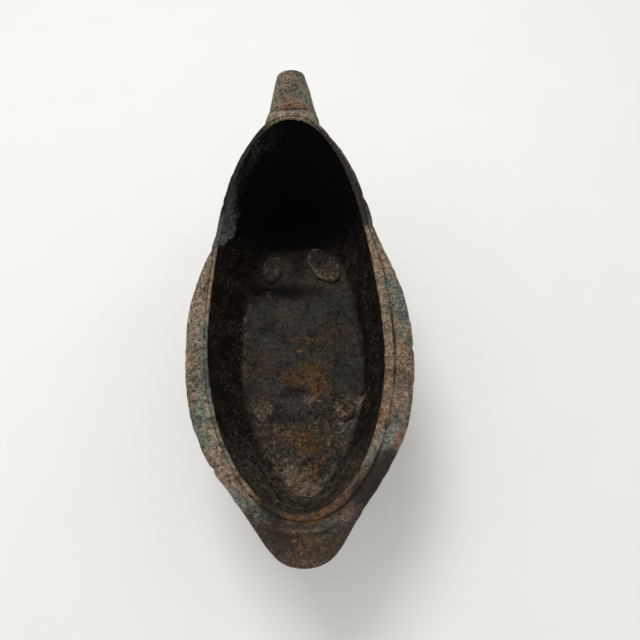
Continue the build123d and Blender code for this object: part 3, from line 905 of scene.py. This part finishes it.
def body_fields(mesh):
    """Stores where each patch, and the painted light and shade, lie on the body."""
    points = mesh_points(mesh)
    normals = mesh_normals(mesh)
    bowl = in_bowl(mesh)
    top = on_top(points, normals)
    skin = (1 - bowl) * (1 - top)
    x, station, height = points[:, 0], points[:, 1], points[:, 2]
    flat = soft_step(height, FLOOR + 5.0, FLOOR + 1.5) * bowl
    drift = lumps(points, 26.0, 51)
    fields = {}
    for name in PATCHES:
        lip = paint(points, LIP_STROKES.get(name, ()))
        low = paint(points, FLOOR_STROKES.get(name, ()))
        fields[name] = lip * top + low * np.maximum(flat, bowl * soft_step(height, 90.0, 75.0))

    near = soft_step(station, 52.0, 24.0)
    right = soft_step(x, -10.0, 40.0)
    ledge, groove, crest, trough = (read_field(mesh, name) for name in LIP_MARKS)
    broken = 0.55 + 0.45 * lumps(points, 9.0, 57)
    # Brown patina on the lip and tongue; the extra brown on the right lip is painted shade, on the side
    # away from the lamp
    fields["brown"] += top * (0.05 + 0.80 * near + 0.38 * right * soft_step(station, 230.0, 180.0))
    cool = soft_step(x, -30.0, -45.0) * soft_step(station, 172.0, 150.0)
    fields["tan"] += ledge * top * (0.25 + 0.20 * right) * (1 - near) * (1 - cool)
    fields["teal"] += 0.5 * ledge * top * cool
    fields["rust"] += 0.09 * top * near
    fields["tan"] += 0.14 * top * near * soft_step(station, 22.0, 6.0)
    fields["dark"] += 0.12 * top * near
    # Painted shade in the groove between the ledge and the lip, stronger on the right
    fields["dark"] += 0.85 * groove * top * (0.35 + 0.65 * right) * broken
    # Painted shade in the troughs and painted highlight on the crests of the sweeps across the tongue
    fields["dark"] += 0.80 * trough * top * broken
    fields["tan"] += 0.45 * crest * top * broken
    # Painted shade: darkens the tongue and the near part of the right lip
    fields["painted_shade"] = top * (0.42 * near + 0.45 * right * hump(station, 47.0, 16.0))
    fields["brown"] += skin * 0.35
    fields["green"] += skin * (0.25 + 0.35 * drift)
    fields["teal"] += skin * soft_step(-drift, 0.2, 0.8) * 0.4
    fields["rust"] += skin * soft_step(lumps(points, 15.0, 53), 0.5, 0.9) * 0.4
    seam = hump((height - UNDERSIDE - TILE_START) / TILE_PITCH % 1.0, 0.5, 0.16)
    belly = soft_step(height, UNDERSIDE + 8.0, UNDERSIDE + 12.0) * soft_step(height, 112.0, 108.0)
    fields["dark"] += skin * seam * belly * 0.5
    # Painted shade on the top of the rim where it rises into the hood: dark, full on the left and less on
    # the right, with the slate grey of the patina over it as well, fullest on the first part of the rise
    # on the left
    left = soft_step(x, 0.0, -26.0)
    start = between(soft_step(station, 214.0, 228.0), soft_step(station, 209.5, 211.5), left)
    brink = top * start * soft_step(station, 288.0, 276.0)
    slab = left * soft_step(station, 238.0, 226.0)
    fields["dark"] += brink * between(0.42 + 0.5 * ledge, 1.0, left) * (1 - 0.85 * slab)
    fields["slate"] += brink * between(0.42, 1.0, slab)
    side = skin * soft_step(rim_height(station) - height, 6.5, 3.5)
    fields["tan"] += 0.5 * side * soft_step(station, 222.0, 250.0)
    fields["green"] += 0.3 * side * soft_step(station, 222.0, 236.0)
    plate = hood_plate(points) * bowl
    below = rim_height(station) - height
    fields["pale"] += 0.80 * plate * hump(station - 0.6 * below, 214.0, 10.0)
    fields["slate"] += plate * between(1.0, 0.5, soft_step(station, 222.0, 234.0)) + 0.3 * bowl * left * soft_step(station, 225.0, 245.0) \
        * soft_step(below, 30.0, 8.0)
    # Painted light: where the lighter copy of the wall tones lies, at the near end of the walls below the
    # rim
    fields["tail"] = bowl * soft_step(station, 95.0, 55.0) * soft_step(height, 119.0, 108.0)
    fields["tan"] += 0.23 * flat * soft_step(station, 132.0, 96.0)
    fields["floor"] = flat
    # Dark patina and painted shade: near black inside the hood, less on the rough plate and on the upper
    # left flank where light falls, and on the floor a painted shadow band before the front left leg and
    # painted shade under the hood
    hood = bowl * soft_step(station + 0.35 * (height - FLOOR), 225.0, 262.0)
    flank = left * soft_step(below, 34.0, 10.0)
    hood = hood * (1 - 0.9 * plate) * (1 - 0.45 * flank)
    band = 0.78 * stroke(points, -34.0, 209.0, -3.0, 206.0, 6.0)
    fields["dark_patina_and_shade"] = np.maximum(hood, flat * np.maximum(band, soft_step(station, 236.0, 250.0)))
    fields["tracks"] = top * (0.25 + 0.45 * soft_step(station, 90.0, 160.0)) * (1 - near) * (1 - brink)
    for name, values in fields.items():
        add_field(mesh, name, values)


def build_body(outer, inner):
    """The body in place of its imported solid."""
    mesh = opened_body()
    body_fields(mesh)
    piece = new_piece("bowl_casting", mesh, [outer, inner], "body")
    inside = in_bowl(mesh)
    for face in mesh.polygons:
        share = sum(inside[corner] for corner in face.vertices) / len(face.vertices)
        face.material_index = 1 if share > 0.5 else 0
    return piece


def cast_copy(node, voxel, grain, seed, shape=None):
    """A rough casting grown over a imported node's own form."""
    blank = bpy.data.objects.new(node + "_blank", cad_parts[node].data.copy())
    bpy.context.scene.collection.objects.link(blank)
    skin = blank.modifiers.new("skin", "REMESH")
    skin.mode = "VOXEL"
    skin.voxel_size = voxel * MM
    ease = blank.modifiers.new("ease", "SMOOTH")
    ease.factor = 0.5
    ease.iterations = 4
    mesh = applied(blank)
    bpy.data.objects.remove(blank)
    points = mesh_points(mesh)
    normals = mesh_normals(mesh)
    push = grain * (crust(points, 7.0, 3, seed) + 0.5 * lumps(points, 1.6, seed + 7) - 0.4)
    if shape:
        push = push + shape(points, normals)
    set_points(mesh, points + normals * push[:, None])
    mesh.name = node + "_casting"
    return mesh


def trim_fields(mesh, **given):
    """Stores the patches of a smaller casting, each even over it or given by point."""
    even = np.zeros(len(mesh.vertices))
    for name in (*PATCHES, "tracks", "painted_shade", "floor", "tail", "dark_patina_and_shade"):
        add_field(mesh, name, even + given.get(name, 0.0))


def spout_collar(points, normals):
    """A low ragged collar where the spout was cast on to the brow, wider at its sides."""
    ragged = 1 + 0.5 * lumps(points, 5.0, 85)
    return hump(points[:, 1], 296.5, 4.5) * ragged * (0.7 + 0.9 * np.abs(normals[:, 0]))


def build_spout(bronze):
    """The tubular spout, crusted grey-brown, with a green patch on its right side."""
    mesh = cast_copy("spout", 0.7, 0.24, 81, spout_collar)
    points = mesh_points(mesh)
    points[:, 0] += SPOUT_SKEW * soft_step(points[:, 1], 284.0, 300.0)
    set_points(mesh, points)
    green = 0.55 * stroke(points, 6.0, 324.0, 10.0, 300.0, 4.5)
    teal = 0.6 * spot(points, 8.0, 304.0, 6.0)
    rust = 0.7 * stroke(points, -4.0, 297.0, 8.0, 297.0, 4.0) + 0.15 * lumps(points, 6.0, 83)
    seam = 0.7 * stroke(points, -16.0, 298.0, -9.0, 296.5, 1.2)
    trim_fields(mesh, rust=rust, green=green, teal=teal, brown=0.22, dark=seam, tracks=0.75)
    return new_piece("spout_casting", mesh, [bronze], "spout")


def strap_form(points, normals):
    """A shallow channel down the outer face of the strap, between two soft edges."""
    outer = soft_step(-normals[:, 1], 0.4, 0.8)
    return outer * (0.5 * hump(np.abs(points[:, 0]), 6.2, 1.6) - 0.4 * hump(points[:, 0], 0.0, 3.5))


def build_handle(bronze):
    """The strap handle under the tongue."""
    mesh = cast_copy("handle", 0.6, 0.2, 91, strap_form)
    points = mesh_points(mesh)
    green = 0.25 + 0.4 * lumps(points, 14.0, 93)
    rust = 0.3 * soft_step(lumps(points, 9.0, 95), 0.3, 0.8)
    trim_fields(mesh, green=green, rust=rust, dark=0.15, brown=0.3, tracks=0.3)
    return new_piece("handle_casting", mesh, [bronze], "handle")


def head_form(node):
    """Relief of a leg's head on the floor: a raised ring round a rough pit."""
    ring, pit, ragged, *_ = HEAD_RELIEF[node]

    def relief(points, normals):
        out = head_reach(points, node)
        above = soft_step(points[:, 2], FLOOR, FLOOR + 0.8) * soft_step(normals[:, 2], 0.2, 0.7)
        hollow = hump(out, 0.1, 0.42) * (1 + 0.6 * lumps(points, 4.0, 141))
        return above * (ring * hump(out, 0.84, 0.12) - pit * hollow + ragged * crust(points, 6.0, 2, 143))

    return relief


def build_leg(node, seed, bronze, inner):
    """One leg and the spread head of its tenon on the floor, as dark as the floor."""
    mesh = cast_copy(node, 0.7, 0.24, seed, head_form(node))
    points = mesh_points(mesh)
    above = soft_step(points[:, 2], FLOOR - 2.0, FLOOR)
    x, station, _ = HEADS[node]
    *_, sunk, twist, spread = HEAD_RELIEF[node]
    points[:, 2] -= sunk * np.clip(points[:, 2] - FLOOR, 0, None)
    angle = above * math.radians(twist)
    grown = 1 + above * spread / HEAD_HALF_WIDTH * 0.8
    across, along = (points[:, 0] - x) * grown, (points[:, 1] - station) * grown
    points[:, 0] = x + across * np.cos(angle) + along * np.sin(angle)
    points[:, 1] = station + along * np.cos(angle) - across * np.sin(angle)
    points[:, 2] = np.maximum(points[:, 2], 0.0)
    set_points(mesh, points)
    front = float(station > WIDEST)
    green = (1 - above) * (0.25 + 0.4 * lumps(points, 16.0, seed + 3))
    reach = head_reach(points, node, spread)
    edge = hump(reach, 0.88, 0.11) * float(spread > 0)
    pit = hump(reach, 0.25, 0.35) * float(spread > 0)
    worn = between(0.42, 0.24, front)
    tan = above * (worn * soft_step(points[:, 1], station + 14.0, station - 6.0) + 0.3 * edge)
    dark = above * (0.5 * front * soft_step(points[:, 1], station - 2.0, station + 12.0) + 0.3 * pit)
    dark *= 1 - edge
    trim_fields(mesh, green=green, dark=dark, tan=tan, brown=0.35, tracks=0.1, floor=above)
    piece = new_piece(node + "_casting", mesh, [bronze, inner], node)
    for face in mesh.polygons:
        face.material_index = int(points[face.vertices[0]][2] > FLOOR - 1.0)
    return piece


def build_chaplets(bronze):
    """The square spacers, flush in the floor."""
    mesh = cast_copy("chaplets", 0.5, 0.08, 111)
    trim_fields(mesh, brown=0.6, dark=0.5)
    return new_piece("chaplet_set", mesh, [bronze], "chaplets")


# Studio


def build_table():
    """A plain pale table top."""
    bench = Bench("pale_table")
    base = bench.blend(bench.noise(60.0, 2.0), (0.775, 0.775, 0.750), (0.800, 0.800, 0.775))
    values = {"Base Color": base, "Roughness": 0.6, "Specular IOR Level": 0.2}
    bench.output(bench.add("ShaderNodeBsdfPrincipled", None, values))
    half = 4.0
    corners = [(-half, -half, 0), (half, -half, 0), (half, half, 0), (-half, half, 0)]
    mesh = bpy.data.meshes.new("table")
    mesh.from_pydata(corners, [], [(0, 1, 2, 3)])
    mesh.materials.append(bench.material)
    table = bpy.data.objects.new("table", mesh)
    bpy.context.scene.collection.objects.link(table)


def soft_lamp(name, place, target, width, power):
    """A square soft box aimed at a point."""
    light = bpy.data.lights.new(name, "AREA")
    light.shape = "SQUARE"
    light.size = width
    light.energy = power
    lamp = bpy.data.objects.new(name, light)
    bpy.context.scene.collection.objects.link(lamp)
    way = Vector(target) - Vector(place)
    lamp.matrix_world = Matrix.Translation(place) @ way.to_track_quat("-Z", "Y").to_matrix().to_4x4()


def build_light():
    """Pale room light, and a soft box up over the spout end, a little to the left."""
    world = bpy.data.worlds.new("room")
    world.use_nodes = True
    sky = world.node_tree.nodes["Background"]
    sky.inputs["Color"].default_value = (1.0, 0.995, 0.985, 1.0)
    sky.inputs["Strength"].default_value = 0.76
    bpy.context.scene.world = world
    soft_lamp("soft_box", (-0.28, 0.50, 1.45), (0.0, 0.0, 0.1), 0.6, 10.5)


def build_camera():
    """The photograph's viewpoint: over the handle end, looking down toward the spout."""
    pitch, yaw, roll = (math.radians(angle) for angle in (28.0, -1.54, -1.10))
    place = Vector(to_frame((8.93, -45.0, 490.0)))
    turn = Matrix.Rotation(yaw, 3, "Z")
    way = turn @ Vector((0, math.sin(pitch), -math.cos(pitch)))
    up = turn @ Vector((0, math.cos(pitch), math.sin(pitch)))
    right = turn @ Vector((1, 0, 0))
    level = math.cos(roll) * right + math.sin(roll) * up
    upright = -math.sin(roll) * right + math.cos(roll) * up
    lens = bpy.data.cameras.new("camera")
    lens.sensor_width = 36.0
    lens.lens = 36.0 * 641 / 640
    lens.clip_start = 0.01
    camera = bpy.data.objects.new("camera", lens)
    bpy.context.scene.collection.objects.link(camera)
    facing = Matrix((level, upright, -way)).transposed()
    camera.matrix_world = Matrix.Translation(place) @ facing.to_4x4()
    bpy.context.scene.camera = camera


build_camera()
build_light()
build_table()
LIP_BRONZE = outer_bronze("lip_bronze", (0.042, 0.028, 0.019), (0.372, 0.280, 0.186), 1.0)
TRIM_BRONZE = outer_bronze("trim_bronze", (0.035, 0.025, 0.018), (0.225, 0.168, 0.118), 1.0)
SPOUT_BRONZE = outer_bronze("spout_bronze", (0.036, 0.027, 0.019), (0.250, 0.195, 0.140), 0.8)
INNER_BRONZE = inner_bronze()
build_body(LIP_BRONZE, INNER_BRONZE)
build_spout(SPOUT_BRONZE)
build_handle(TRIM_BRONZE)
for leg_number, leg_name in enumerate(HEADS):
    build_leg(leg_name, 121 + 10 * leg_number, TRIM_BRONZE, INNER_BRONZE)
build_chaplets(TRIM_BRONZE)
bpy.context.scene.view_settings.view_transform = "Standard"
